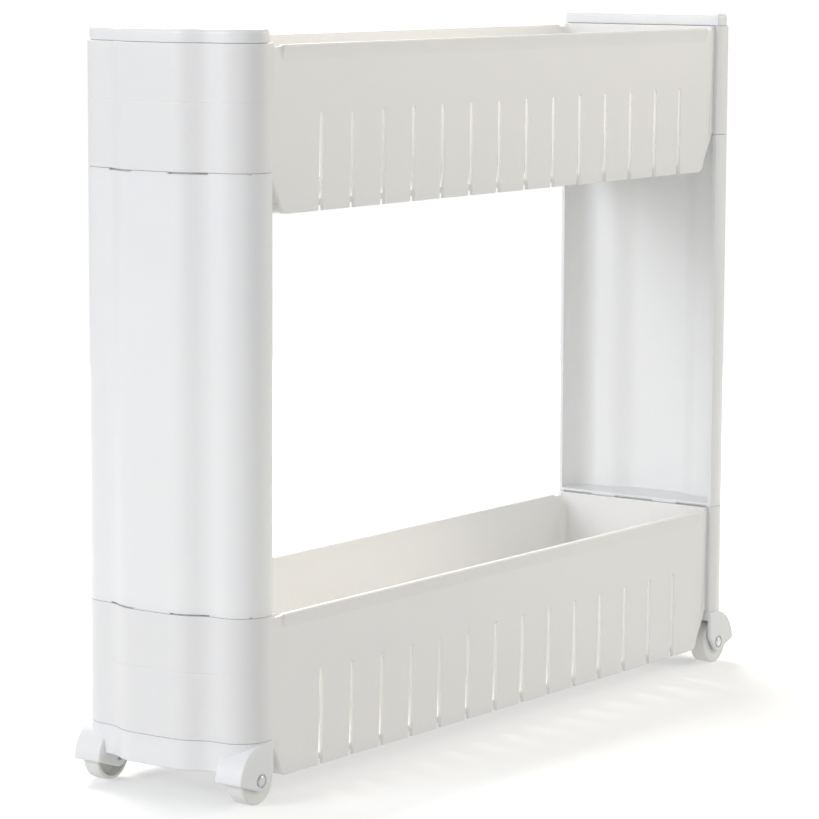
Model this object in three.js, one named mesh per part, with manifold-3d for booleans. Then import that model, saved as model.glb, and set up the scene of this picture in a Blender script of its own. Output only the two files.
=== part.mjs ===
// Slim two-tier rolling utility cart in white polypropylene.
// Millimetres, +Z up. X runs along the cart, Y across it, and Z = 0 is the floor under its middle.
import * as THREE from 'three';
import { mergeVertices } from 'three/addons/utils/BufferGeometryUtils.js';
import Module from 'manifold-3d';

const wasm = await Module();
wasm.setup();

// ---- Driving dimensions ----

// Plan outline shared by the end blocks, uprights, caps and bases, drawn for the +X end
const HALF_WIDTH = 62;
const SHOULDER_X = 266;                       // flat shoulders either side of the bulge
const BULGE = 8;                              // how far the middle of an end stands out
const BULGE_CREST = 14;                       // half width of the bulge's flat crest
const BULGE_FOOT = 42;                        // |Y| where the bulge meets the shoulder
const CORNER_RADIUS = 19;
const TUCK = THREE.MathUtils.degToRad(20);    // how far each corner turns back past the side

// Heights
const HEIGHT = 438;
const CAP_HEIGHT = 8;
const TIER_PITCH = 322;
const BLOCK_HEIGHT = 71.6;
const BASE_HEIGHT = 17.6;
const SEAM = 0.3;                             // gap between pieces that rest on each other

// Shells
const WALL = 2.2;
const FIT = 0.4;                              // clearance round a collar in its pocket
const COLLAR_THICKNESS = 2;
const COLLAR_LENGTH = 10;
const COLLAR_ROOT = 1;                        // how deep a collar is rooted in its own piece
const WEB_DEPTH = 33;                         // block top down to the web between its two pockets

// Tray
const RIM_DROP = 1;                           // rim below the top of the end blocks
const TRAY_DEPTH = 95;                        // rim to the lower edge of the long walls
const RIM_WIDTH = 4;
const BAND_HEIGHT = 8.6;                      // thickened rim band
const BAND_STEP = 0.6;
const BAND_STEP_HEIGHT = 0.5;
const BAND_FLARE = 0.7;                       // how far the band leans out towards the rim
const EDGE_BREAK = 0.8;
const WALL_DRAFT = 1.8;                       // how far each long wall leans in towards its foot
const INNER_DRAFT = 1.4;
const END_WALL = 3;
const END_SLANT = 10;                         // clearance slope under the end blocks
const FOOT_ROUND = 7;
const FOOT_LEAN = 1;                          // how far the slope carries on into its rounded foot
const SKIRT = 3;                              // long walls below the underside of the floor
const SLOTS = 14;
const SLOT_PITCH = 29.9;
const SLOT_SHIFT = 3;                         // middle of the slot row from the middle of the cart
const SLOT_DROP = 38;                         // rim to the top of a slot
const SLOT_TOP_WIDTH = 2.6;
const SLOT_FOOT_WIDTH = 4.1;
const SLOT_OVERCUT = 0.2;                     // slots reach this far past the inside of a wall

// Cap
const CAP_INSET = 1.2;
const CAP_ROUND = 2.6;

// Upright
const UPRIGHT_WALL = 2.4;
const NOTCH_HEIGHT = 0.9;                     // shallow slits along each end of the upright
const NOTCH_DEPTH = 1.2;
const OUTER_NOTCHES = [[10, 42], [52, 70]];   // |Y| where the outside is notched
const INNER_NOTCHES = [[0, 15], [34, 57]];    // |Y| where the inward edge is notched

// Castors
const AXLE_X = 252;
const WHEEL_RADIUS = 14.2;
const WHEEL_WIDTH = 11.4;
const WHEEL_GAP = 1;                          // wheel to cheek
const CHEEK = 2;
const CHEEK_OUTER_Y = 62;
const HOOD_FRONT_X = 271;
const HOOD_RADIUS = 21.4;
const WELL_RADIUS = 16;
const BOSS_RADIUS = 6;
const AXLE_RADIUS = 2;
const BORE_GAP = 0.3;
const AXLE_PROUD = 0.5;                       // how far an axle stands out of its cheeks
const AXLE_CHAMFER = 0.4;
const HUB_RADIUS = 5;
const TREAD_THICKNESS = 2.2;
const TREAD_CHAMFER = 0.9;
const WHEEL_WEB = 1.2;                        // half thickness of the web between hub and tread

// Facets
const CURVE_STEPS = 5;
const BEVEL_STEPS = 3;
const WHEEL_STEPS = 28;
const AXLE_STEPS = 12;

// ---- Derived places ----

const CORNER_X = SHOULDER_X - CORNER_RADIUS;
const CORNER_Y = HALF_WIDTH - CORNER_RADIUS;
const BACK_X = CORNER_X - CORNER_RADIUS * Math.sin(TUCK);
const BACK_Y = CORNER_Y + CORNER_RADIUS * Math.cos(TUCK);
const UPPER_BLOCK_TOP = HEIGHT - CAP_HEIGHT;
const LOWER_BLOCK_TOP = UPPER_BLOCK_TOP - TIER_PITCH;
const BASE_TOP = LOWER_BLOCK_TOP - BLOCK_HEIGHT;
const BASE_BOTTOM = BASE_TOP - BASE_HEIGHT;
const AXLE_Z = WHEEL_RADIUS;
const WHEEL_Y = CHEEK_OUTER_Y - CHEEK - WHEEL_GAP - WHEEL_WIDTH / 2;
const CHEEK_INNER_Y = WHEEL_Y - WHEEL_WIDTH / 2 - WHEEL_GAP - CHEEK;
const BEYOND = 5;                             // how far a cutter runs past the face it opens
const LAP = 0.1;                              // how far joined solids run into each other

const RIM = -RIM_DROP;                        // heights in a tray, from the top of its end blocks
const WALL_FOOT = RIM - TRAY_DEPTH;
const FLOOR_UNDER = WALL_FOOT + SKIRT;
const FLOOR_TOP = FLOOR_UNDER + WALL;
const INNER_RIM_Y = BACK_Y - RIM_WIDTH;
const INNER_FOOT_Y = INNER_RIM_Y - INNER_DRAFT;

// ---- Solids ----

function solid(geometry) {
    geometry.deleteAttribute('normal');
    geometry.deleteAttribute('uv');
    const merged = mergeVertices(geometry);
    return new wasm.Manifold(new wasm.Mesh({
        numProp: 3,
        vertProperties: new Float32Array(merged.attributes.position.array),
        triVerts: new Uint32Array(merged.index.array),
    }));
}

function geometryOf(manifold) {
    const mesh = manifold.getMesh();
    const geometry = new THREE.BufferGeometry();
    geometry.setAttribute('position', new THREE.BufferAttribute(new Float32Array(mesh.vertProperties), 3));
    geometry.setIndex(new THREE.BufferAttribute(new Uint32Array(mesh.triVerts), 1));
    return geometry;
}

function extrude(shape, depth) {
    return new THREE.ExtrudeGeometry(shape, { depth, bevelEnabled: false, curveSegments: CURVE_STEPS });
}

// A plan outline (X, Y) between two heights.
function standing(shape, bottom, top) {
    return solid(extrude(shape, top - bottom).translate(0, 0, bottom));
}

// A side outline (X, Z) between two places across the cart.
function across(shape, from, to) {
    return solid(extrude(shape, to - from).rotateX(Math.PI / 2).translate(0, to, 0));
}

// A cross-section (Y, Z) running from -length / 2 to length / 2 along the cart.
function along(shape, length) {
    const turn = new THREE.Matrix4().makeBasis(
        new THREE.Vector3(0, 1, 0),
        new THREE.Vector3(0, 0, 1),
        new THREE.Vector3(1, 0, 0),
    );
    return solid(extrude(shape, length).applyMatrix4(turn).translate(-length / 2, 0, 0));
}

function box([x0, y0, z0], [x1, y1, z1]) {
    const geometry = new THREE.BoxGeometry(x1 - x0, y1 - y0, z1 - z0);
    return solid(geometry.translate((x0 + x1) / 2, (y0 + y1) / 2, (z0 + z1) / 2));
}

function rodAcross(radius, x, z, from, to) {
    const circle = new THREE.Shape().absarc(x, z, radius, 0, 2 * Math.PI);
    return across(circle, from, to);
}

function polygon(points) {
    return new THREE.Shape(points.map(([x, y]) => new THREE.Vector2(x, y)));
}

// A range of |Y| as a range of Y, low end first, on one side of the cart.
function onSide(side, [near, far]) {
    return side > 0 ? [near, far] : [-far, -near];
}

// ---- Outlines ----

// Plan outline of an end piece, set in by `inset`, with its straight back edge at `backX`.
function endOutline(inset, backX = BACK_X + inset) {
    const radius = CORNER_RADIUS - inset;
    const tuckedX = CORNER_X - radius * Math.sin(TUCK);
    const tuck = backX > tuckedX ? Math.asin((CORNER_X - backX) / radius) : TUCK;
    const shoulder = SHOULDER_X - inset;
    const crest = shoulder + BULGE;
    const middle = (BULGE_CREST + BULGE_FOOT) / 2;
    const shape = new THREE.Shape();
    shape.absarc(CORNER_X, -CORNER_Y, radius, -Math.PI / 2 - tuck, 0);
    shape.lineTo(shoulder, -BULGE_FOOT + inset);
    shape.bezierCurveTo(shoulder, -middle, crest, -middle, crest, -BULGE_CREST);
    shape.lineTo(crest, BULGE_CREST);
    shape.bezierCurveTo(crest, middle, shoulder, middle, shoulder, BULGE_FOOT - inset);
    shape.absarc(CORNER_X, CORNER_Y, radius, 0, Math.PI / 2 + tuck);
    if (backX < tuckedX) {
        const backY = CORNER_Y + radius * Math.cos(TUCK);
        shape.lineTo(backX, backY);
        shape.lineTo(backX, -backY);
    }
    return shape;
}

// Side outline (X, Z) of the tray, below the top of its end blocks; `inset` gives the hollow.
function traySide(inset, top, bottom) {
    const end = BACK_X + LAP - inset;
    const foot = end - END_SLANT;
    const shape = new THREE.Shape();
    shape.moveTo(-end, top);
    shape.lineTo(-end, -BLOCK_HEIGHT);
    shape.lineTo(-foot, bottom + FOOT_ROUND);
    shape.quadraticCurveTo(FOOT_LEAN - foot, bottom, FOOT_ROUND - foot, bottom);
    shape.lineTo(foot - FOOT_ROUND, bottom);
    shape.quadraticCurveTo(foot - FOOT_LEAN, bottom, foot, bottom + FOOT_ROUND);
    shape.lineTo(end, -BLOCK_HEIGHT);
    shape.lineTo(end, top);
    return shape;
}

// Cross-section (Y, Z) of the tray's outside: drafted walls under a flared rim band.
function trayOuterSection() {
    const bandFoot = RIM - BAND_HEIGHT;
    const wallY = BACK_Y - BAND_FLARE - BAND_STEP;
    const footY = wallY - WALL_DRAFT;
    const half = [
        [footY - EDGE_BREAK, WALL_FOOT],
        [footY, WALL_FOOT + EDGE_BREAK],
        [wallY, bandFoot],
        [wallY + BAND_STEP, bandFoot + BAND_STEP_HEIGHT],
        [BACK_Y, RIM - EDGE_BREAK],
        [BACK_Y - EDGE_BREAK, RIM],
    ];
    const mirrored = half.map(([y, z]) => [-y, z]).reverse();
    return polygon([...half, ...mirrored]);
}

function trayInnerSection() {
    return polygon([
        [-INNER_FOOT_Y, FLOOR_TOP],
        [INNER_FOOT_Y, FLOOR_TOP],
        [INNER_RIM_Y, BEYOND],
        [-INNER_RIM_Y, BEYOND],
    ]);
}

// ---- Tray: one moulding with a hollow block at each end ----

function endBlock() {
    const pocket = endOutline(WALL, BACK_X + LAP);
    const endWall = box([BACK_X - END_WALL, -BACK_Y, -BLOCK_HEIGHT], [BACK_X + LAP, BACK_Y, 0]);
    return standing(endOutline(0), -BLOCK_HEIGHT, 0)
        .subtract(standing(pocket, -WEB_DEPTH + WALL, BEYOND))
        .subtract(standing(pocket, -BLOCK_HEIGHT - BEYOND, -WEB_DEPTH))
        .add(endWall);
}

// The hollow under the floor, inside the skirt that the long walls make.
function underFloor() {
    const x = BACK_X - END_SLANT - FOOT_ROUND - WALL;
    return box([-x, -INNER_FOOT_Y, WALL_FOOT - BEYOND], [x, INNER_FOOT_Y, FLOOR_UNDER]);
}

function slotCutter(x, side) {
    const top = RIM - SLOT_DROP;
    const shoulder = top - SLOT_TOP_WIDTH / 2;
    const shape = polygon([
        [x - SLOT_FOOT_WIDTH / 2, WALL_FOOT - BEYOND],
        [x + SLOT_FOOT_WIDTH / 2, WALL_FOOT - BEYOND],
        [x + SLOT_TOP_WIDTH / 2, shoulder],
        [x, top],
        [x - SLOT_TOP_WIDTH / 2, shoulder],
    ]);
    const [from, to] = onSide(side, [INNER_FOOT_Y - SLOT_OVERCUT, HALF_WIDTH + BEYOND]);
    return across(shape, from, to);
}

function tray() {
    const length = 2 * (BACK_X + BEYOND);
    const outside = across(traySide(0, RIM, WALL_FOOT), -HALF_WIDTH, HALF_WIDTH)
        .intersect(along(trayOuterSection(), length));
    const inside = across(traySide(END_WALL, BEYOND, FLOOR_TOP), -HALF_WIDTH, HALF_WIDTH)
        .intersect(along(trayInnerSection(), length));
    const block = endBlock();
    let body = outside.add(block)
        .add(block.rotate([0, 0, 180]))
        .subtract(inside)
        .subtract(underFloor());

    const firstSlot = SLOT_SHIFT - SLOT_PITCH * (SLOTS - 1) / 2;
    for (let i = 0; i < SLOTS; i += 1) {
        const x = firstSlot + SLOT_PITCH * i;
        body = body.subtract(slotCutter(x, 1)).subtract(slotCutter(x, -1));
    }
    return geometryOf(body);
}

// ---- Collar that plugs into a block's pocket ----

function collar(bottom, top) {
    const inset = WALL + FIT;
    return standing(endOutline(inset), bottom, top)
        .subtract(standing(endOutline(inset + COLLAR_THICKNESS), bottom - BEYOND, top + BEYOND));
}

// ---- Upright: a channel, open inwards, with a plate and a collar at each end ----

function seamNotches(z0, z1) {
    const outerX = [SHOULDER_X - CORNER_RADIUS / 2, SHOULDER_X + BULGE + BEYOND];
    const innerX = [BACK_X - BEYOND, BACK_X + NOTCH_DEPTH];
    const cutters = [];
    for (const [ranges, [x0, x1]] of [[OUTER_NOTCHES, outerX], [INNER_NOTCHES, innerX]]) {
        for (const range of ranges) {
            for (const side of [1, -1]) {
                const [y0, y1] = onSide(side, range);
                cutters.push(box([x0, y0, z0], [x1, y1, z1]));
            }
        }
    }
    return cutters;
}

function upright() {
    const bottom = LOWER_BLOCK_TOP + SEAM;
    const top = UPPER_BLOCK_TOP - BLOCK_HEIGHT - SEAM;
    const channel = endOutline(UPRIGHT_WALL, BACK_X - BEYOND);
    let body = standing(endOutline(0), bottom, top)
        .subtract(standing(channel, bottom + UPRIGHT_WALL, top - UPRIGHT_WALL));
    const notches = [
        ...seamNotches(bottom - LAP, bottom + NOTCH_HEIGHT),
        ...seamNotches(top - NOTCH_HEIGHT, top + LAP),
    ];
    for (const notch of notches) {
        body = body.subtract(notch);
    }
    body = body
        .add(collar(bottom - COLLAR_LENGTH, bottom + COLLAR_ROOT))
        .add(collar(top - COLLAR_ROOT, top + COLLAR_LENGTH));
    return geometryOf(body);
}

// ---- Cap: a shallow lid with a rounded top edge and a collar below ----

function cap() {
    const bottom = UPPER_BLOCK_TOP + SEAM;
    const depth = 2 * CAP_HEIGHT;
    const bevelled = new THREE.ExtrudeGeometry(endOutline(CAP_INSET + CAP_ROUND), {
        depth,
        bevelThickness: CAP_ROUND,
        bevelSize: CAP_ROUND,
        bevelSegments: BEVEL_STEPS,
        curveSegments: CURVE_STEPS,
    });
    bevelled.translate(0, 0, HEIGHT - CAP_ROUND - depth);
    const below = box([0, -HALF_WIDTH - BEYOND, 0], [2 * SHOULDER_X, HALF_WIDTH + BEYOND, bottom]);
    const body = solid(bevelled)
        .subtract(below)
        .subtract(standing(endOutline(CAP_INSET + WALL), bottom - BEYOND, HEIGHT - WALL))
        .add(collar(bottom - COLLAR_LENGTH, HEIGHT - WALL));
    return geometryOf(body);
}

// ---- Base: the foot of an end, with a hood over each of its two wheels ----

// Angle round the boss at which the straight edge from a corner (X, Z) of the cheek touches it.
function tangentAngle(x, z, turn) {
    const [dx, dz] = [x - AXLE_X, z - AXLE_Z];
    return Math.atan2(dz, dx) + turn * Math.acos(BOSS_RADIUS / Math.hypot(dx, dz));
}

// Side outline (X, Z) of a hood and its cheeks, which narrow to a boss under the axle.
function hoodOutline() {
    const bossStart = tangentAngle(BACK_X, BASE_BOTTOM, 1);
    const bossEnd = 2 * Math.PI + tangentAngle(HOOD_FRONT_X, AXLE_Z, -1);
    const shape = new THREE.Shape();
    shape.absarc(HOOD_FRONT_X - HOOD_RADIUS, AXLE_Z, HOOD_RADIUS, 0, Math.PI / 2);
    shape.lineTo(BACK_X, AXLE_Z + HOOD_RADIUS);
    shape.lineTo(BACK_X, BASE_BOTTOM);
    shape.absarc(AXLE_X, AXLE_Z, BOSS_RADIUS, bossStart, bossEnd);
    return shape;
}

function wheelWell(from, to) {
    const mouth = box([AXLE_X - WELL_RADIUS, from, -BEYOND], [AXLE_X + WELL_RADIUS, to, AXLE_Z]);
    const behind = box([BACK_X - BEYOND, from, -BEYOND], [AXLE_X, to, AXLE_Z + WELL_RADIUS]);
    return rodAcross(WELL_RADIUS, AXLE_X, AXLE_Z, from, to).add(mouth).add(behind);
}

function base() {
    const top = BASE_TOP - SEAM;
    let body = standing(endOutline(0), BASE_BOTTOM, top)
        .subtract(standing(endOutline(WALL), BASE_BOTTOM - BEYOND, top - WALL))
        .add(collar(top - COLLAR_ROOT, top + COLLAR_LENGTH));
    for (const side of [1, -1]) {
        const [hood0, hood1] = onSide(side, [CHEEK_INNER_Y, CHEEK_OUTER_Y]);
        const bore = rodAcross(AXLE_RADIUS + BORE_GAP, AXLE_X, AXLE_Z, hood0 - BEYOND, hood1 + BEYOND);
        body = body
            .add(across(hoodOutline(), hood0, hood1))
            .subtract(wheelWell(hood0 + CHEEK, hood1 - CHEEK))
            .subtract(bore);
    }
    return geometryOf(body);
}

// ---- Wheel and axle ----

// A closed half-section (radius, place along the axle), turned all the way round.
function turned(section, steps) {
    const profile = section.map(([radius, place]) => new THREE.Vector2(radius, place));
    return new THREE.LatheGeometry([...profile, profile[0].clone()], steps);
}

// A thin web joins the hub to the tread, so both sides of the wheel are dished.
function wheel() {
    const half = WHEEL_WIDTH / 2;
    const treadInner = WHEEL_RADIUS - TREAD_THICKNESS;
    const upper = [
        [WHEEL_RADIUS, half - TREAD_CHAMFER],
        [WHEEL_RADIUS - TREAD_CHAMFER, half],
        [treadInner, half],
        [treadInner - EDGE_BREAK, WHEEL_WEB],
        [HUB_RADIUS + EDGE_BREAK, WHEEL_WEB],
        [HUB_RADIUS, half],
        [AXLE_RADIUS + BORE_GAP, half],
    ];
    const lower = upper.map(([radius, place]) => [radius, -place]).reverse();
    return turned([...upper, ...lower], WHEEL_STEPS);
}

function axle() {
    const inner = CHEEK_INNER_Y - AXLE_PROUD - WHEEL_Y;
    const outer = CHEEK_OUTER_Y + AXLE_PROUD - WHEEL_Y;
    const profile = [
        [0, inner],
        [AXLE_RADIUS - AXLE_CHAMFER, inner],
        [AXLE_RADIUS, inner + AXLE_CHAMFER],
        [AXLE_RADIUS, outer - AXLE_CHAMFER],
        [AXLE_RADIUS - AXLE_CHAMFER, outer],
        [0, outer],
    ];
    return new THREE.LatheGeometry(profile.map(([x, y]) => new THREE.Vector2(x, y)), AXLE_STEPS);
}

// ---- Materials ----

function plastic(name, color, roughness) {
    const material = new THREE.MeshStandardMaterial({ color, roughness, metalness: 0 });
    material.name = name;
    return material;
}

const glossWhite = plastic('gloss_white', 0xf1f3f4, 0.28);
const trayWhite = plastic('tray_white', 0xeeebe4, 0.4);
const wheelWhite = plastic('wheel_white', 0xe6e5dc, 0.45);
const steel = new THREE.MeshStandardMaterial({ color: 0xb9bcbe, roughness: 0.35, metalness: 1 });

// ---- Assembly ----

function named(name, geometry, material) {
    const mesh = new THREE.Mesh(geometry, material);
    mesh.name = name;
    return mesh;
}

const cart = new THREE.Group();

const trayGeometry = tray();
const lowerTray = named('lower_tray', trayGeometry, trayWhite);
lowerTray.position.z = LOWER_BLOCK_TOP;
const upperTray = named('upper_tray', trayGeometry, trayWhite);
upperTray.position.z = UPPER_BLOCK_TOP;
cart.add(lowerTray, upperTray);

// Each end is built at +X and turned half round for the front end.
const endPieces = {
    upright: [upright(), glossWhite],
    cap: [cap(), glossWhite],
    base: [base(), glossWhite],
};
const wheelGeometry = wheel();
const axleGeometry = axle();

for (const [end, turn] of [['rear', 0], ['front', Math.PI]]) {
    const group = new THREE.Group();
    group.rotation.z = turn;
    for (const [piece, [geometry, material]] of Object.entries(endPieces)) {
        group.add(named(`${end}_${piece}`, geometry, material));
    }
    for (const [hand, side] of [['left', 1], ['right', -1]]) {
        const hub = new THREE.Group();
        hub.position.set(AXLE_X, side * WHEEL_Y, AXLE_Z);
        hub.rotation.z = side > 0 ? 0 : Math.PI;
        hub.add(named(`${end}_${hand}_wheel`, wheelGeometry, wheelWhite));
        hub.add(named(`${end}_${hand}_axle`, axleGeometry, steel));
        group.add(hub);
    }
    cart.add(group);
}

export default cart;
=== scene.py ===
"""A slim two-tier rolling utility cart in white moulded plastic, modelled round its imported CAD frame.

Metres, +Z up. X runs along the cart, Y across it, and Z = 0 is the floor. Places come from the CAD boxes,
and the details that a box can't give, such as radii and wall thicknesses, are the named sizes below.
"""
import math

import bmesh
import bpy
from mathutils import Matrix, Vector


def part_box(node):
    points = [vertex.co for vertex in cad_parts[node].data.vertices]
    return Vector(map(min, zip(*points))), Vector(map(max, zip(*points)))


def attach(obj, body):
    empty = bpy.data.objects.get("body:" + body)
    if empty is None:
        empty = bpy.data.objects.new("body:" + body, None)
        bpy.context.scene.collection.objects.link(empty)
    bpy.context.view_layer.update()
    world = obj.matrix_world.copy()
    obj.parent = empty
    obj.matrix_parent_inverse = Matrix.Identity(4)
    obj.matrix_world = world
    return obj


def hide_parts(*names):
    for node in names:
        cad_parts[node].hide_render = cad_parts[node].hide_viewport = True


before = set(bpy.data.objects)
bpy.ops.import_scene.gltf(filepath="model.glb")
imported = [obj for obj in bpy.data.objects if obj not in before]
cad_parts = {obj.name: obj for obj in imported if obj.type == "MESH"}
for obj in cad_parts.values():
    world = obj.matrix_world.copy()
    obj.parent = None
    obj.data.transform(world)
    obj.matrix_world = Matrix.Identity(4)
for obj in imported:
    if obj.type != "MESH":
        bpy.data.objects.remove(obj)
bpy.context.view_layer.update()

MM = 0.001

# ---- Sizes that the CAD boxes don't give ----

BULGE = 8 * MM                       # the middle of an end stands out from its shoulders
BULGE_CREST = 14 * MM                # half the width of its flat top
BULGE_FOOT = 42 * MM                 # half its width at the shoulders
CORNER_RADIUS = 19 * MM
TUCK = math.radians(20)              # the corners turn back past the side

WALL = 2.2 * MM
UPRIGHT_WALL = 2.4 * MM
CHANNEL_ROUND = 1 * MM
COLLAR_INSET = 2.6 * MM
COLLAR_THICKNESS = 2 * MM
SEAM = 0.15 * MM
SOFT_EDGE = 0.45 * MM                # moulded edges are broken by this much, or by a part of it
TRAY_SOFT_EDGE = 0.8 * SOFT_EDGE
END_SOFT_EDGE = 0.7 * SOFT_EDGE
LAP = 1 * MM                         # joined parts reach this far into each other
NICK = 0.1 * MM                      # a step small enough to look sharp

BLOCK_HEIGHT = 71.6 * MM
WEB_DEPTH = 33 * MM
SINK_DEPTH = 0.2 * MM                # faint sink line outside the web
SINK_REACH = 0.6 * MM                # half its height
RIM_DROP = 1 * MM
RIM_WIDTH = 4 * MM
STRIP_DROP = 2.3 * MM                # wall's top beside the blocks, where the rim band stops
BAND_HEIGHT = 8.6 * MM
BAND_STEP = 0.1 * MM                 # its foot stands out from the wall by this much
BAND_FLARE = 1.9 * MM                # and its top by this much more
BAND_ROUND = 1.1 * MM
BAND_ROOT = 1 * MM                   # how far it reaches into the wall
BAND_END = 12 * MM                   # the band stops this far from the blocks
BAND_SLOPE = 2 * MM                  # length of its sloping ends
BAND_SINK = 0.3 * MM                 # how far under the wall's face they go
BAND_END_DROP = 0.6 * STRIP_DROP
WALL_DRAFT = 1.1 * MM
INNER_DRAFT = 1.4 * MM
END_WALL = 3 * MM
END_SLANT = 10 * MM                  # the tub's ends slope in by this much
FOOT_ROUND = 7 * MM
FLOOR_FILLET = 2.5 * MM
FILLET_END_SHARE = 0.3               # the fillet's width along X, as a part of that along Y
RIM_ROUND = 1.2 * MM
TUB_LAP = 1.5 * MM                   # the tub's ends run this far into the blocks,
TUB_LAP_RISE = 0.6 * MM              # from this far above the blocks' undersides
WALL_LAP = 2 * MM                    # an end wall's solid starts this far inside the tub,
WALL_GAP = 0.4 * MM                  # and is this much narrower than the tub at each side
INNER_CORNER = 5 * MM
OUTER_CORNER = 1.6 * MM
SKIRT = 3 * MM                       # the walls reach this far below the floor
SLOTS = 14
SLOT_PITCH = 29.9 * MM
SLOT_SHIFT = 3 * MM                  # the row is off the middle by this much
SLOT_DROP = 38 * MM                  # from the rim to the slots' tops
SLOT_TOP_WIDTH = 3.2 * MM
SLOT_FOOT_WIDTH = 5 * MM
SLOT_BITE = 0.3 * MM                 # the slots cut this far into the floor's edge

CAP_INSET = 1.2 * MM
CAP_ROUND = 2.6 * MM
CAP_CHAMFER = 0.3 * MM               # along the cap's foot
CAP_SOFT_EDGE = 0.25 * MM

NOTCH_HEIGHT = 0.9 * MM              # shallow slits along each end of an upright, at these |Y|
NOTCH_DEPTH = 1.2 * MM
OUTER_NOTCHES = ((13 * MM, 36 * MM), (58 * MM, 70 * MM))
INNER_NOTCHES = ((0, 15 * MM), (34 * MM, 57 * MM))

CHEEK = 2 * MM                       # thickness of a hood's sides
CHEEK_INNER_Y = 42.6 * MM
HOOD_FRONT_X = 271 * MM
HOOD_RADIUS = 21.4 * MM
HOOD_ROUND = 1.2 * MM
WELL_RADIUS = 16 * MM
BOSS_RADIUS = 6 * MM
BORE_RADIUS = 2.3 * MM
RECESS_RADIUS = 4.4 * MM             # round recess in the outer cheek, with the pin's head in it
RECESS_DEPTH = 1.1 * MM
PIN_HEAD_RADIUS = 3.1 * MM
PIN_HEAD_LENGTH = 1.2 * MM
HUB_RADIUS = 5 * MM
HUB_TAPER = 0.8 * MM
HUB_DISH = 0.5 * MM                  # the outer face is sunk by this much round the hub
HUB_DISH_RADIUS = 7 * MM
TREAD_THICKNESS = 2.2 * MM
TREAD_ROUND = 1.3 * MM
WHEEL_SOFT_EDGE = 0.35 * MM
WHEEL_WEB = 1.2 * MM                 # the web's inner face lies this far outside the wheel's middle
PIN_END_ROUND = 0.5 * MM
PIN_DOME_SHARE = 0.65                # the part of the head's length that is domed
BASE_HEIGHT = 17.6 * MM
BASE_ROUND = 1 * MM

# ---- Places from the CAD frame ----

tray_low, tray_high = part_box("upper_tray")
lower_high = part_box("lower_tray")[1]
upright_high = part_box("rear_upright")[1]
cap_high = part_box("rear_cap")[1]
wheel_low, wheel_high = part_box("rear_left_wheel")
axle_low, axle_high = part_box("rear_left_axle")

HALF_WIDTH = tray_high.y
SHOULDER_X = tray_high.x - BULGE
CORNER_X = SHOULDER_X - CORNER_RADIUS
CORNER_Y = HALF_WIDTH - CORNER_RADIUS
BACK_X = CORNER_X - CORNER_RADIUS * math.sin(TUCK)
BACK_Y = CORNER_Y + CORNER_RADIUS * math.cos(TUCK)
UPPER_TOP = tray_high.z
LOWER_TOP = lower_high.z
TOP = cap_high.z
BASE_TOP = LOWER_TOP - BLOCK_HEIGHT
BASE_BOTTOM = BASE_TOP - BASE_HEIGHT
WALL_FOOT = tray_low.z - UPPER_TOP            # heights in a tray count from the top of its blocks
RIM = -RIM_DROP
FLOOR_UNDER = WALL_FOOT + SKIRT
FLOOR_TOP = FLOOR_UNDER + WALL
INNER_RIM_Y = BACK_Y - RIM_WIDTH
INNER_FOOT_Y = INNER_RIM_Y - INNER_DRAFT
OUTER_RIM_Y = BACK_Y - BAND_FLARE - BAND_STEP
OUTER_FOOT_Y = OUTER_RIM_Y - WALL_DRAFT
WHEEL_CENTRE = (wheel_low + wheel_high) / 2
WHEEL_RADIUS = (wheel_high.z - wheel_low.z) / 2
WHEEL_WIDTH = wheel_high.y - wheel_low.y
CHEEK_OUTER_Y = HALF_WIDTH
COLLAR_LENGTH = upright_high.z - (UPPER_TOP - BLOCK_HEIGHT - SEAM)

FLOOR_RADIUS = 1.9
BACKDROP_RADIUS = 14
CAMERA_PLACE = (-1.8328, -1.2932, 0.4938)
CAMERA_YAW = math.radians(35.55)     # the view runs this far round from +X towards +Y,
CAMERA_PITCH = math.radians(-7.59)   # and a little downwards
CAMERA_ROLL = math.radians(0.25)
CAMERA_SENSOR = 36                   # mm
CAMERA_LENS = 158.98                 # mm

ARC_STEPS = 14                       # steps in curves
BULGE_STEPS = 18
ROUND_STEPS = 4
FINE_ROUND_STEPS = 5
CAP_STEPS = 7
SLOT_STEPS = 8
FOOT_STEPS = 6
INNER_FOOT_STEPS = 5
WHEEL_STEPS = 96
PIN_STEPS = 48
PIN_DOME_STEPS = 8
FLAT_ANGLE = math.radians(0.2)       # faces closer than this in angle are joined
BEYOND = 6 * MM                      # how far a cutter runs past the face it opens


# ---- Mesh building ----

def new_object(name, verts, faces):
    mesh = bpy.data.meshes.new(name)
    mesh.from_pydata(verts, [], faces)
    mesh.update()
    obj = bpy.data.objects.new(name, mesh)
    bpy.context.scene.collection.objects.link(obj)
    return obj


def weld(obj, distance=1e-6):
    bm = bmesh.new()
    bm.from_mesh(obj.data)
    bmesh.ops.remove_doubles(bm, verts=bm.verts, dist=distance)
    bmesh.ops.recalc_face_normals(bm, faces=bm.faces)
    bm.to_mesh(obj.data)
    bm.free()
    return obj


def loft(name, rings):
    """A closed solid through rings of equal length, each a list of 3D points."""
    count = len(rings[0])
    verts = [point for ring in rings for point in ring]
    faces = [tuple(reversed(range(count)))]
    for level in range(len(rings) - 1):
        low, high = level * count, (level + 1) * count
        for i in range(count):
            j = (i + 1) % count
            faces.append((low + i, low + j, high + j, high + i))
    last = (len(rings) - 1) * count
    faces.append(tuple(range(last, last + count)))
    return weld(new_object(name, verts, faces))


def apply_modifiers(obj):
    graph = bpy.context.evaluated_depsgraph_get()
    mesh = bpy.data.meshes.new_from_object(obj.evaluated_get(graph))
    old = obj.data
    obj.modifiers.clear()
    obj.data = mesh
    bpy.data.meshes.remove(old)
    return obj


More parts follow.
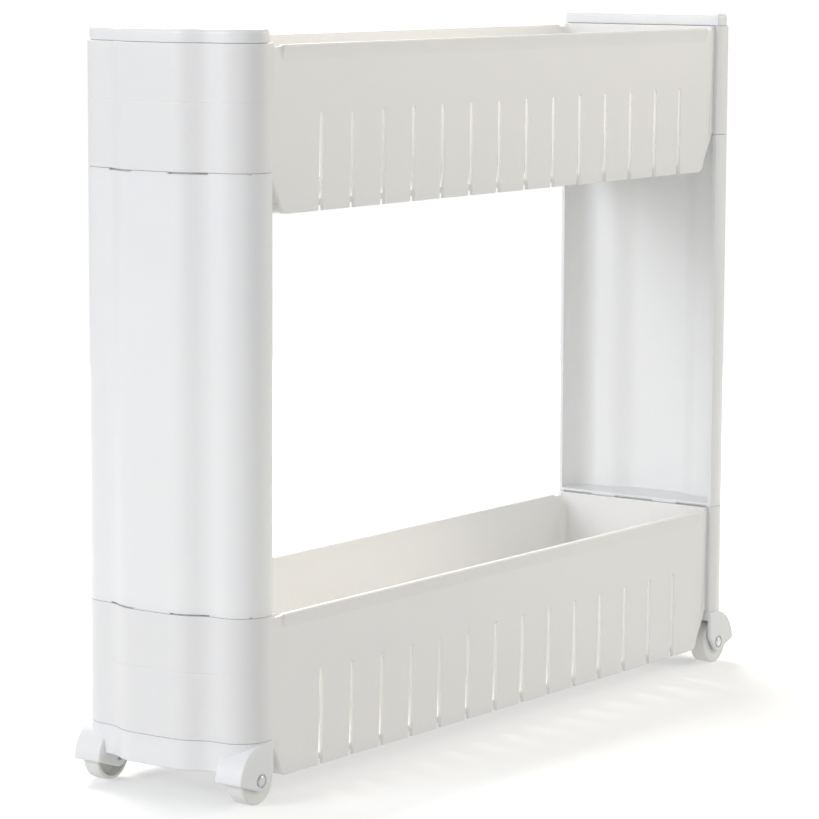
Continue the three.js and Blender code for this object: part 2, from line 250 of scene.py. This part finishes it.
def remove(obj):
    mesh = obj.data
    bpy.data.objects.remove(obj)
    bpy.data.meshes.remove(mesh)


def combine(target, operation, *others):
    """Join the others to the target or cut them out of it. They are used up."""
    for other in others:
        modifier = target.modifiers.new("boolean", "BOOLEAN")
        modifier.operation = operation
        modifier.solver = "EXACT"
        modifier.object = other
        apply_modifiers(target)
        remove(other)
    return target


def clean(obj, distance=0.02 * MM):
    """Join points that a boolean left almost together, and remove edges inside flat faces."""
    bm = bmesh.new()
    bm.from_mesh(obj.data)
    bmesh.ops.remove_doubles(bm, verts=bm.verts, dist=distance)
    bmesh.ops.dissolve_degenerate(bm, edges=bm.edges, dist=distance / 2)
    bmesh.ops.dissolve_limit(
        bm, angle_limit=FLAT_ANGLE, verts=bm.verts, edges=bm.edges, delimit={"NORMAL"}
    )
    bm.to_mesh(obj.data)
    bm.free()
    return obj


def soften(obj, width=SOFT_EDGE, segments=3, angle=35):
    """Round every edge sharper than the angle, and shade the piece smooth."""
    bevel = obj.modifiers.new("bevel", "BEVEL")
    bevel.width = width
    bevel.segments = segments
    bevel.limit_method = "ANGLE"
    bevel.angle_limit = math.radians(angle)
    bevel.use_clamp_overlap = True
    apply_modifiers(obj)
    return smooth(obj)


def smooth(obj, angle=50):
    """Shade smooth across edges under the angle, with normals that follow the larger faces."""
    obj.data.shade_smooth()
    obj.data.set_sharp_from_angle(angle=math.radians(angle))
    weighted = obj.modifiers.new("normals", "WEIGHTED_NORMAL")
    weighted.keep_sharp = True
    weighted.weight = 50
    return apply_modifiers(obj)


def turned(obj, angle):
    obj.data.transform(Matrix.Rotation(angle, 4, "Z"))
    return obj


def copied(obj, name):
    copy = bpy.data.objects.new(name, obj.data.copy())
    copy.data.name = name
    bpy.context.scene.collection.objects.link(copy)
    return copy


# ---- Outlines ----

def arc(cx, cy, radius, start, end, steps=ARC_STEPS):
    angles = [start + (end - start) * i / steps for i in range(steps + 1)]
    return [(cx + radius * math.cos(a), cy + radius * math.sin(a)) for a in angles]


def s_curve(x0, y0, x1, y1, steps=BULGE_STEPS):
    """A smooth step from one (X, Y) to another that leaves and arrives along Y."""
    middle = (y0 + y1) / 2
    points = []
    for i in range(1, steps + 1):
        t = i / steps
        a, b, c, d = (1 - t) ** 3, 3 * t * (1 - t) ** 2, 3 * t * t * (1 - t), t ** 3
        points.append((a * x0 + b * x0 + c * x1 + d * x1, a * y0 + b * middle + c * middle + d * y1))
    return points


def end_outline(inset=0.0, back_x=None):
    """Plan outline of an end piece at +X, set in all round, with its straight back edge at back_x."""
    if back_x is None:
        back_x = BACK_X + inset
    radius = CORNER_RADIUS - inset
    tucked_x = CORNER_X - radius * math.sin(TUCK)
    tuck = math.asin((CORNER_X - back_x) / radius) if back_x > tucked_x else TUCK
    shoulder = SHOULDER_X - inset
    crest = shoulder + BULGE
    back_y = CORNER_Y + radius * math.cos(tuck)
    points = [(back_x, -back_y)]
    points += arc(CORNER_X, -CORNER_Y, radius, -math.pi / 2 - tuck, 0)
    points.append((shoulder, -BULGE_FOOT + inset))
    points += s_curve(shoulder, -BULGE_FOOT + inset, crest, -BULGE_CREST)
    points += [(x, -y) for x, y in reversed(points)]
    return points


def ring(outline, z):
    return [(x, y, z) for x, y in outline]


def quarter(radius, steps=ROUND_STEPS):
    """(inset, rise) pairs down a rounded edge, from its flat face to its side."""
    angles = [math.pi / 2 * i / steps for i in range(steps + 1)]
    return [(radius * (1 - math.sin(a)), radius * (1 - math.cos(a))) for a in angles]


def standing(
    name, bottom, top, inset=0.0, back_x=None, bottom_round=0.0, top_round=0.0, sink_z=None
):
    """An end piece's outline between two heights, with rounded edges if asked, and a sink line at sink_z."""
    keep_back = BACK_X if back_x is None and inset == 0 else back_x
    rings = []
    if bottom_round:
        for step, rise in quarter(bottom_round):
            rings.append(ring(end_outline(inset + step, keep_back), bottom + rise))
    else:
        rings.append(ring(end_outline(inset, back_x), bottom))
    if sink_z is not None:
        for reach, depth in ((-1, 0), (-0.5, SINK_DEPTH), (0.5, SINK_DEPTH), (1, 0)):
            rings.append(ring(end_outline(inset + depth, keep_back), sink_z + SINK_REACH * reach))
    if top_round:
        for step, rise in reversed(quarter(top_round)):
            rings.append(ring(end_outline(inset + step, keep_back), top - rise))
    else:
        rings.append(ring(end_outline(inset, back_x), top))
    return loft(name, rings)


def box(name, low, high):
    (x0, y0, z0), (x1, y1, z1) = low, high
    rings = [[(x0, y0, z), (x1, y0, z), (x1, y1, z), (x0, y1, z)] for z in (z0, z1)]
    return loft(name, rings)


def across(name, outline, y0, y1):
    """A side outline (X, Z), counter-clockwise seen from -Y, between two places across the cart."""
    rings = [[(x, y, z) for x, z in outline] for y in (y1, y0)]
    return loft(name, rings)


def rounded_rectangle(half_x, half_y, radius, z, steps=ROUND_STEPS + 2):
    points = []
    for sx, sy, start in ((1, 1, 0), (-1, 1, 90), (-1, -1, 180), (1, -1, 270)):
        angle = math.radians(start)
        cx, cy = sx * (half_x - radius), sy * (half_y - radius)
        points += arc(cx, cy, radius, angle, angle + math.pi / 2, steps)
    return ring(points, z)


def on_side(side, near, far):
    return (near, far) if side > 0 else (-far, -near)


# ---- Tray ----

def tray_end_x(z, inset=0.0):
    """Half length of the tub at a height, where its ends slope in below the blocks."""
    end = BACK_X - inset
    foot_z = (WALL_FOOT if inset == 0 else FLOOR_TOP) + FOOT_ROUND
    if z >= -BLOCK_HEIGHT:
        return end
    if z >= foot_z:
        return end - END_SLANT * (-BLOCK_HEIGHT - z) / (-BLOCK_HEIGHT - foot_z)
    drop = min(1.0, (foot_z - z) / FOOT_ROUND)
    return end - END_SLANT - FOOT_ROUND * (1 - math.sqrt(1 - drop * drop))


def outer_half_y(z):
    return OUTER_FOOT_Y + WALL_DRAFT * (z - WALL_FOOT) / (RIM - BAND_HEIGHT - WALL_FOOT)


def inner_half_y(z):
    return INNER_FOOT_Y + INNER_DRAFT * (z - FLOOR_TOP) / (RIM - FLOOR_TOP)


def band_y(z):
    return BACK_Y - BAND_FLARE * (RIM - z) / BAND_HEIGHT


def tub_outside():
    """The tub as a solid, which runs into the end blocks above their undersides."""
    edge = SOFT_EDGE * 2
    rings = []
    for step, rise in quarter(edge):
        z = WALL_FOOT + rise
        rings.append(rounded_rectangle(tray_end_x(z), outer_half_y(z) - step, OUTER_CORNER, z))
    for i in range(1, FOOT_STEPS + 1):
        z = WALL_FOOT + edge + (FOOT_ROUND - edge) * i / FOOT_STEPS
        rings.append(rounded_rectangle(tray_end_x(z), outer_half_y(z), OUTER_CORNER, z))
    lap_z = -BLOCK_HEIGHT + TUB_LAP_RISE
    inside_block = BACK_X + TUB_LAP
    for z, half_x in (
        (-BLOCK_HEIGHT, BACK_X),
        (lap_z, BACK_X),
        (lap_z + NICK, inside_block),
        (-STRIP_DROP, inside_block),
    ):
        rings.append(rounded_rectangle(half_x, outer_half_y(z), OUTER_CORNER, z))
    return loft("tub", rings)


def rim_band(side):
    """The thickened band along the rim, with ends that slope back to the wall."""
    foot = RIM - BAND_HEIGHT
    root_y = INNER_RIM_Y - BAND_ROOT
    section = [                               # (Y, Z), from a small curve out of the wall at the band's foot
        (OUTER_RIM_Y - 0.5 * MM, foot - 0.3 * MM),
        (OUTER_RIM_Y + 0.05 * MM, foot - 0.2 * MM),
        (band_y(foot) - 0.05 * MM, foot + 0.1 * MM),
        (band_y(foot + 0.4 * MM), foot + 0.4 * MM),
    ]
    section += [(BACK_Y - step, RIM - rise) for step, rise in reversed(quarter(BAND_ROUND))]
    section += [(root_y, RIM), (root_y, foot - 0.6 * MM)]
    reach = BACK_X - BAND_END
    rings = []
    for x, sunk in ((-reach - BAND_SLOPE, 1), (-reach, 0), (reach, 0), (reach + BAND_SLOPE, 1)):
        points = []
        for y, z in section:
            inward = (y - OUTER_RIM_Y + BAND_SINK) * sunk if y > OUTER_RIM_Y else 0
            points.append((x, side * (y - inward), min(z, RIM - BAND_END_DROP * sunk)))
        rings.append(points)
    return loft("band", rings)


def tub_inside():
    """The tub's hollow, with a fillet round its floor and a rounded rim."""
    levels = []                               # (height, set in along X, set in along Y, corner radius)
    for step, rise in quarter(FLOOR_FILLET, FINE_ROUND_STEPS):
        levels.append((FLOOR_TOP + rise, step * FILLET_END_SHARE, step, INNER_CORNER))
    for i in range(1, INNER_FOOT_STEPS + 1):
        z = FLOOR_TOP + FLOOR_FILLET + (FOOT_ROUND - FLOOR_FILLET) * i / INNER_FOOT_STEPS
        levels.append((z, 0, 0, INNER_CORNER))
    levels.append((-BLOCK_HEIGHT, 0, 0, INNER_CORNER))
    levels.append((RIM - RIM_ROUND, 0, 0, INNER_CORNER))
    for step, rise in reversed(quarter(RIM_ROUND)):
        levels.append((RIM - rise, 0, -step, INNER_CORNER + step))
    rings = [
        rounded_rectangle(tray_end_x(z, END_WALL) - in_x, inner_half_y(z) - in_y, corner, z)
        for z, in_x, in_y, corner in levels
    ]
    rings.append(rounded_rectangle(
        tray_end_x(0, END_WALL), inner_half_y(RIM) + RIM_ROUND, INNER_CORNER + RIM_ROUND, BEYOND))
    return loft("inside", rings)


def slot(x, side):
    """A slot's cutter: it widens downwards from a round top and runs out at the foot of the wall."""
    top = RIM - SLOT_DROP
    foot = WALL_FOOT - BEYOND
    half = SLOT_TOP_WIDTH / 2
    outline = [(x - SLOT_FOOT_WIDTH / 2, foot), (x + SLOT_FOOT_WIDTH / 2, foot)]
    outline += arc(x, top - half, half, 0, math.pi, SLOT_STEPS)
    y0, y1 = on_side(side, INNER_FOOT_Y - SLOT_BITE, HALF_WIDTH + BEYOND)
    return across("slot", outline, y0, y1)


def end_block():
    """The block at +X as a solid, with the thickness of the tub's end wall behind it."""
    half_y = OUTER_RIM_Y - WALL_GAP
    block = standing(
        "block", -BLOCK_HEIGHT, 0, bottom_round=SOFT_EDGE, top_round=SOFT_EDGE, sink_z=-WEB_DEPTH)
    wall = box(
        "end_wall",
        (BACK_X - END_WALL - WALL_LAP, -half_y, -BLOCK_HEIGHT + LAP),
        (BACK_X + LAP / 2, half_y, 0),
    )
    return combine(block, "UNION", wall)


def pockets(turn):
    """The hollows of an end block, above and below its web."""
    upper = standing("upper_pocket", -WEB_DEPTH + WALL, BEYOND, WALL, BACK_X + NICK)
    lower = standing("lower_pocket", -BLOCK_HEIGHT - BEYOND, -WEB_DEPTH, WALL, BACK_X + NICK)
    return turned(upper, turn), turned(lower, turn)


def tray_mesh():
    """One tray, with the top of its blocks at Z = 0."""
    body = tub_outside()
    for side in (1, -1):
        combine(body, "UNION", rim_band(side))
    for turn in (0, math.pi):
        combine(body, "UNION", turned(end_block(), turn))
    under_x = BACK_X - END_SLANT - FOOT_ROUND - WALL
    under = box(
        "under", (-under_x, -INNER_FOOT_Y, WALL_FOOT - BEYOND), (under_x, INNER_FOOT_Y, FLOOR_UNDER))
    combine(body, "DIFFERENCE", tub_inside(), under)
    for turn in (0, math.pi):
        combine(body, "DIFFERENCE", *pockets(turn))
    first = SLOT_SHIFT - SLOT_PITCH * (SLOTS - 1) / 2
    for i in range(SLOTS):
        for side in (1, -1):
            combine(body, "DIFFERENCE", slot(first + SLOT_PITCH * i, side))
    clean(body)
    return soften(body, TRAY_SOFT_EDGE)


# ---- End pieces, built at +X ----

def collar(bottom, top):
    """The tube that plugs into a pocket."""
    outer = standing("collar", bottom, top, COLLAR_INSET)
    inner = standing("collar_hole", bottom - BEYOND, top + BEYOND, COLLAR_INSET + COLLAR_THICKNESS)
    return combine(outer, "DIFFERENCE", inner)


def seam_notches(z0, z1):
    """Cutters for the slits along one end of an upright, outside and inside."""
    cutters = []
    outer_x = (SHOULDER_X - CORNER_RADIUS / 2, SHOULDER_X + BULGE + BEYOND)
    inner_x = (BACK_X - BEYOND, BACK_X + NOTCH_DEPTH)
    for ranges, (x0, x1) in ((OUTER_NOTCHES, outer_x), (INNER_NOTCHES, inner_x)):
        for near, far in ranges:
            for side in (1, -1):
                y0, y1 = on_side(side, near, far)
                cutters.append(box("notch", (x0, y0, z0), (x1, y1, z1)))
    return cutters


def upright_mesh():
    """A channel open towards the cart's middle, with a plate and a collar at each end."""
    bottom = LOWER_TOP + SEAM
    top = UPPER_TOP - BLOCK_HEIGHT - SEAM
    body = standing("upright", bottom, top, bottom_round=SOFT_EDGE, top_round=SOFT_EDGE)
    channel = standing(
        "channel", bottom + UPRIGHT_WALL, top - UPRIGHT_WALL, UPRIGHT_WALL, BACK_X - BEYOND,
        bottom_round=CHANNEL_ROUND, top_round=CHANNEL_ROUND)
    combine(body, "DIFFERENCE", channel)
    notches = seam_notches(bottom - BEYOND, bottom + NOTCH_HEIGHT)
    notches += seam_notches(top - NOTCH_HEIGHT, top + BEYOND)
    combine(body, "DIFFERENCE", *notches)
    combine(body, "UNION", collar(bottom - COLLAR_LENGTH, bottom + LAP))
    combine(body, "UNION", collar(top - LAP, top + COLLAR_LENGTH))
    clean(body)
    return soften(body, END_SOFT_EDGE)


def cap_mesh():
    """A shallow hollow cap with a rounded top edge and a collar below."""
    bottom = UPPER_TOP + SEAM
    rings = [
        ring(end_outline(CAP_INSET + CAP_CHAMFER), bottom),
        ring(end_outline(CAP_INSET), bottom + CAP_CHAMFER),
    ]
    for step, rise in reversed(quarter(CAP_ROUND, CAP_STEPS)):
        rings.append(ring(end_outline(CAP_INSET + step), TOP - rise))
    body = loft("cap", rings)
    hollow = standing("hollow", bottom - BEYOND, TOP - WALL, CAP_INSET + WALL)
    combine(body, "DIFFERENCE", hollow)
    combine(body, "UNION", collar(bottom - COLLAR_LENGTH, TOP - WALL + 2 * NICK))
    clean(body)
    return soften(body, CAP_SOFT_EDGE)


def tangent_angle(x, z, turn):
    """The angle at which a line from (X, Z) touches the boss round the axle, on the side that turn picks."""
    dx, dz = x - WHEEL_CENTRE.x, z - WHEEL_CENTRE.z
    return math.atan2(dz, dx) + turn * math.acos(BOSS_RADIUS / math.hypot(dx, dz))


def hood_outline():
    """Side outline (X, Z) of a castor's hood: a round top and front that run in to the boss."""
    x, z = WHEEL_CENTRE.x, WHEEL_CENTRE.z
    start = tangent_angle(BACK_X, BASE_BOTTOM, 1)
    end = 2 * math.pi + tangent_angle(HOOD_FRONT_X, z, -1)
    outline = arc(HOOD_FRONT_X - HOOD_RADIUS, z, HOOD_RADIUS, 0, math.pi / 2, steps=20)
    outline += [(BACK_X, z + HOOD_RADIUS), (BACK_X, BASE_BOTTOM)]
    outline += arc(x, z, BOSS_RADIUS, start, end, steps=10)
    return outline


def base_mesh():
    """A bracket with a collar above and a hooded well for a wheel at each side."""
    top = BASE_TOP - SEAM
    x, z = WHEEL_CENTRE.x, WHEEL_CENTRE.z
    body = standing("base", BASE_BOTTOM, top, bottom_round=BASE_ROUND, top_round=SOFT_EDGE)
    combine(body, "DIFFERENCE", standing("base_hollow", BASE_BOTTOM - BEYOND, top - WALL, WALL))
    combine(body, "UNION", collar(top - LAP, top + COLLAR_LENGTH))
    for side in (1, -1):
        y0, y1 = on_side(side, CHEEK_INNER_Y, CHEEK_OUTER_Y)
        hood = soften(across("hood", hood_outline(), y0, y1), HOOD_ROUND, FINE_ROUND_STEPS)
        combine(body, "UNION", hood)
        y0, y1 = on_side(side, CHEEK_INNER_Y + CHEEK, CHEEK_OUTER_Y - CHEEK)
        well = arc(x, z, WELL_RADIUS, 0, math.pi / 2, steps=16)
        well += [(BACK_X - BEYOND, z + WELL_RADIUS), (BACK_X - BEYOND, -BEYOND), (x + WELL_RADIUS, -BEYOND)]
        combine(body, "DIFFERENCE", across("well", well, y0, y1))
        bore = arc(x, z, BORE_RADIUS, 0, 2 * math.pi, steps=24)[:-1]
        combine(body, "DIFFERENCE", across("bore", bore, y0 - BEYOND, y1 + BEYOND))
        recess = arc(x, z, RECESS_RADIUS, 0, 2 * math.pi, steps=40)[:-1]
        y0, y1 = on_side(side, CHEEK_OUTER_Y - RECESS_DEPTH, CHEEK_OUTER_Y + BEYOND)
        combine(body, "DIFFERENCE", across("recess", recess, y0, y1))
    clean(body)
    return soften(body, END_SOFT_EDGE)


# ---- Wheel and axle, turned about Y at the origin ----

def lathe(name, profile, steps):
    """A closed profile of (radius, place along Y) points, turned all the way round."""
    verts, faces = [], []
    count = len(profile)
    for i in range(steps):
        angle = 2 * math.pi * i / steps
        verts += [(r * math.cos(angle), y, r * math.sin(angle)) for r, y in profile]
    for i in range(steps):
        here, there = i * count, (i + 1) % steps * count
        for j in range(count):
            k = (j + 1) % count
            faces.append((here + j, here + k, there + k, there + j))
    return weld(new_object(name, verts, faces))


def wheel_mesh():
    """A wheel with its flat face outwards (+Y) and a deep hollow round its hub on the inside."""
    half = WHEEL_WIDTH / 2
    hollow = WHEEL_RADIUS - TREAD_THICKNESS
    edge = quarter(TREAD_ROUND, FINE_ROUND_STEPS)
    profile = [(BORE_RADIUS, half - HUB_DISH), (HUB_DISH_RADIUS, half - HUB_DISH)]
    profile.append((HUB_DISH_RADIUS + 2 * HUB_DISH, half))
    profile += [(WHEEL_RADIUS - step, half - rise) for step, rise in edge]
    profile += [(WHEEL_RADIUS - step, rise - half) for step, rise in reversed(edge)]
    profile += [(hollow, -half), (hollow - HUB_TAPER, WHEEL_WEB), (HUB_RADIUS + HUB_TAPER, WHEEL_WEB)]
    profile += [(HUB_RADIUS, -half), (BORE_RADIUS, -half)]
    return soften(lathe("wheel", profile, WHEEL_STEPS), WHEEL_SOFT_EDGE)


def axle_mesh():
    """A pin with a domed head at its outer end (+Y)."""
    low, high = axle_low.y - WHEEL_CENTRE.y, axle_high.y - WHEEL_CENTRE.y
    radius = (axle_high.z - axle_low.z) / 2
    head = high - PIN_HEAD_LENGTH
    dome = PIN_HEAD_LENGTH * PIN_DOME_SHARE
    profile = [(0, low)]
    profile += [(radius - step, low + rise) for step, rise in quarter(PIN_END_ROUND)]
    profile += [(radius, head), (PIN_HEAD_RADIUS, head)]
    for i in range(PIN_DOME_STEPS + 1):
        angle = math.pi / 2 * i / PIN_DOME_STEPS
        profile.append((PIN_HEAD_RADIUS * math.cos(angle), high - dome + dome * math.sin(angle)))
    return smooth(lathe("axle", profile, PIN_STEPS))


# ---- Materials ----

def noise(tree, size, detail, stretch=(1, 1, 1)):
    """Noise on the piece itself, in patches of about the given size."""
    coordinates = tree.nodes.new("ShaderNodeTexCoord")
    mapping = tree.nodes.new("ShaderNodeMapping")
    texture = tree.nodes.new("ShaderNodeTexNoise")
    mapping.inputs["Scale"].default_value = [factor / size for factor in stretch]
    texture.inputs["Scale"].default_value = 1
    texture.inputs["Detail"].default_value = detail
    tree.links.new(coordinates.outputs["Object"], mapping.inputs["Vector"])
    tree.links.new(mapping.outputs["Vector"], texture.inputs["Vector"])
    return texture.outputs["Fac"]


def spread(tree, value, low, high):
    """Map a noise, which rarely leaves 0.2 to 0.8, to the range from low to high."""
    node = tree.nodes.new("ShaderNodeMapRange")
    node.interpolation_type = "SMOOTHSTEP"
    node.inputs["From Min"].default_value = 0.2
    node.inputs["From Max"].default_value = 0.8
    node.inputs["To Min"].default_value = low
    node.inputs["To Max"].default_value = high
    tree.links.new(value, node.inputs["Value"])
    return node.outputs["Result"]


def blend_colors(tree, factor, dark, light):
    """Mix two colours, each either three numbers or another node's output."""
    node = tree.nodes.new("ShaderNodeMix")
    node.data_type = "RGBA"
    tree.links.new(factor, node.inputs["Factor"])
    for socket, color in ((node.inputs[6], dark), (node.inputs[7], light)):
        if isinstance(color, bpy.types.NodeSocket):
            tree.links.new(color, socket)
        else:
            socket.default_value = (*color, 1)
    return node.outputs[2]


def bump(tree, height, depth, below=None):
    """A bump from a height output, on top of another bump if one is given."""
    node = tree.nodes.new("ShaderNodeBump")
    node.inputs["Strength"].default_value = 1
    node.inputs["Distance"].default_value = depth
    tree.links.new(height, node.inputs["Height"])
    if below:
        tree.links.new(below, node.inputs["Normal"])
    return node.outputs["Normal"]


def shader(name, color, roughness):
    material = bpy.data.materials.new(name)
    material.use_nodes = True
    surface = material.node_tree.nodes["Principled BSDF"]
    surface.inputs["Base Color"].default_value = (*color, 1)
    surface.inputs["Roughness"].default_value = roughness
    return material, surface


def moulded_plastic(name, light, dark, roughness, depth=4 * MM, through=0.2):
    """White plastic as it leaves the mould: cloudy, with faint flow lines, satin patches and orange peel.

    It lets some light in, to about the given depth.
    """
    material, surface = shader(name, light, roughness)
    tree = material.node_tree
    flow_color = [0.995 * value for value in light]
    speck_color = [0.985 * value for value in light]
    clouds = spread(tree, noise(tree, size=60 * MM, detail=2), 0, 1)
    flow = spread(tree, noise(tree, size=9 * MM, detail=2, stretch=(1, 1, 0.12)), 0, 1)
    specks = spread(tree, noise(tree, size=0.7 * MM, detail=2), 0, 1)
    cloudy = blend_colors(tree, clouds, dark, light)
    streaked = blend_colors(tree, flow, flow_color, cloudy)
    grained = blend_colors(tree, specks, speck_color, streaked)
    tree.links.new(grained, surface.inputs["Base Color"])
    satin = spread(tree, noise(tree, size=30 * MM, detail=2), low=roughness - 0.04, high=roughness + 0.05)
    tree.links.new(satin, surface.inputs["Roughness"])
    wavy = bump(tree, noise(tree, size=40 * MM, detail=0), depth=0.1 * MM)
    peel = bump(tree, noise(tree, size=1.1 * MM, detail=2), depth=0.006 * MM, below=wavy)
    tree.links.new(peel, surface.inputs["Normal"])
    surface.inputs["Subsurface Weight"].default_value = through
    surface.inputs["Subsurface Radius"].default_value = (1, 0.95, 0.7)
    surface.inputs["Subsurface Scale"].default_value = depth
    return material


def cut_steel(name):
    """Plain steel wire with scratches along Y and dull patches."""
    light, dark = (0.74, 0.75, 0.76), (0.52, 0.53, 0.55)
    material, surface = shader(name, light, roughness=0.35)
    tree = material.node_tree
    surface.inputs["Metallic"].default_value = 1
    scratches = noise(tree, size=0.5 * MM, detail=4, stretch=(1, 0.1, 1))
    scratched = blend_colors(tree, spread(tree, scratches, 0, 1), dark, light)
    tree.links.new(scratched, surface.inputs["Base Color"])
    dull = spread(tree, noise(tree, size=1.5 * MM, detail=4), low=0.28, high=0.5)
    tree.links.new(dull, surface.inputs["Roughness"])
    tree.links.new(bump(tree, scratches, depth=0.01 * MM), surface.inputs["Normal"])
    return material


gloss_white = moulded_plastic(
    "end_plastic", light=(0.885, 0.89, 0.892), dark=(0.872, 0.878, 0.882), roughness=0.33)
tray_white = moulded_plastic(
    "tray_plastic", light=(0.885, 0.877, 0.868), dark=(0.872, 0.862, 0.85), roughness=0.38)
wheel_white = moulded_plastic(
    "wheel_nylon", light=(0.86, 0.86, 0.83), dark=(0.84, 0.835, 0.79), roughness=0.45)
steel = cut_steel("pin_steel")


# ---- The cart ----

def finish_piece(obj, name, node, body, material):
    """Name a piece, give it its material, tie it to its body, and hide the CAD node it stands in for."""
    obj.name = name
    obj.data.name = name
    obj.data.materials.clear()
    obj.data.materials.append(material)
    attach(obj, body)
    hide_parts(node)
    return obj


tray = tray_mesh()
for tier, top in (("upper", UPPER_TOP), ("lower", LOWER_TOP)):
    piece = copied(tray, f"{tier}_tray_shell")
    piece.data.transform(Matrix.Translation((0, 0, top)))
    finish_piece(piece, f"{tier}_tray_shell", f"{tier}_tray", "frame", tray_white)
remove(tray)

end_meshes = {"upright": upright_mesh(), "cap": cap_mesh(), "base": base_mesh()}
wheel = wheel_mesh()
axle = axle_mesh()
for end, turn in (("rear", 0), ("front", math.pi)):
    for part, source in end_meshes.items():
        piece = turned(copied(source, f"{end}_{part}_shell"), turn)
        finish_piece(piece, piece.name, f"{end}_{part}", "frame", gloss_white)
    for hand, side in (("left", 1), ("right", -1)):
        place = Matrix.Rotation(turn, 4, "Z") @ Matrix.Translation(
            (WHEEL_CENTRE.x, side * WHEEL_CENTRE.y, WHEEL_CENTRE.z))
        place = place @ Matrix.Rotation(0 if side > 0 else math.pi, 4, "Z")
        node = f"{end}_{hand}"
        piece = copied(wheel, f"{node}_wheel_body")
        piece.data.transform(place)
        finish_piece(piece, piece.name, f"{node}_wheel", f"{node}_castor_wheel", wheel_white)
        piece = copied(axle, f"{node}_axle_pin")
        piece.data.transform(place)
        finish_piece(piece, piece.name, f"{node}_axle", "frame", steel)
for source in (*end_meshes.values(), wheel, axle):
    remove(source)


# ---- Stage, light and camera ----

def disc(name, radius, z):
    points = arc(0, 0, radius, 0, 2 * math.pi, steps=96)[:-1]
    return new_object(name, ring(points, z), [tuple(range(len(points)))])


def softbox(name, place, size, watts, color):
    """A rectangular light aimed at the middle of the cart, which the camera doesn't see."""
    lamp = bpy.data.lights.new(name, "AREA")
    lamp.shape = "RECTANGLE"
    lamp.size, lamp.size_y = size
    lamp.energy = watts
    lamp.color = color
    light = bpy.data.objects.new(name, lamp)
    bpy.context.scene.collection.objects.link(light)
    light.location = place
    aim = Vector((0, 0, TOP / 2)) - Vector(place)
    light.rotation_euler = aim.to_track_quat("-Z", "Z").to_euler()
    light.visible_camera = False


def glowing(name, color, roughness, strength):
    """A material that also gives off white light of its own."""
    material, surface = shader(name, color, roughness)
    surface.inputs["Emission Color"].default_value = (1, 1, 1, 1)
    surface.inputs["Emission Strength"].default_value = strength
    return material


def backdrop():
    """A plain white dome round the stage, which is seen but lights nothing."""
    bm = bmesh.new()
    bmesh.ops.create_icosphere(bm, subdivisions=5, radius=BACKDROP_RADIUS)
    mesh = bpy.data.meshes.new("backdrop")
    bm.to_mesh(mesh)
    bm.free()
    dome = bpy.data.objects.new("backdrop", mesh)
    bpy.context.scene.collection.objects.link(dome)
    mesh.materials.append(glowing("backdrop_white", (0, 0, 0), roughness=1, strength=1))
    dome.visible_diffuse = False
    dome.visible_glossy = False
    dome.visible_transmission = False
    dome.visible_shadow = False
    return dome


floor = disc("floor", FLOOR_RADIUS, 0)
floor.data.materials.append(glowing("floor_white", (0.9, 0.9, 0.9), roughness=0.9, strength=0.25))
floor.visible_diffuse = False
backdrop()

softbox("back", (1.0, 1.4, 1.5), size=(1.6, 1.0), watts=46, color=(1.0, 0.97, 0.9))
softbox("left", (-4.1, 1.6, 1.7), size=(1.8, 1.8), watts=78, color=(0.93, 0.96, 1.0))
softbox("left_front", (-2.0, -1.6, 0.6), size=(1.0, 1.0), watts=3, color=(1.0, 1.0, 1.0))
softbox("right_front", (1.6, -1.1, 0.9), size=(1.0, 1.0), watts=10, color=(1.0, 0.95, 0.78))

world = bpy.data.worlds.new("studio")
bpy.context.scene.world = world
world.use_nodes = True
sky = world.node_tree.nodes["Background"]
sky.inputs["Color"].default_value = (1, 1, 1, 1)
sky.inputs["Strength"].default_value = 0.56

bpy.context.scene.view_settings.view_transform = "Standard"

camera_data = bpy.data.cameras.new("camera")
camera = bpy.data.objects.new("camera", camera_data)
bpy.context.scene.collection.objects.link(camera)
camera_data.sensor_width = CAMERA_SENSOR
camera_data.lens = CAMERA_LENS
camera_data.clip_end = 50
camera.matrix_world = (
    Matrix.Translation(CAMERA_PLACE)
    @ Matrix.Rotation(CAMERA_YAW - math.pi / 2, 4, "Z")
    @ Matrix.Rotation(CAMERA_PITCH + math.pi / 2, 4, "X")
    @ Matrix.Rotation(CAMERA_ROLL, 4, "Z")
)
bpy.context.scene.camera = camera
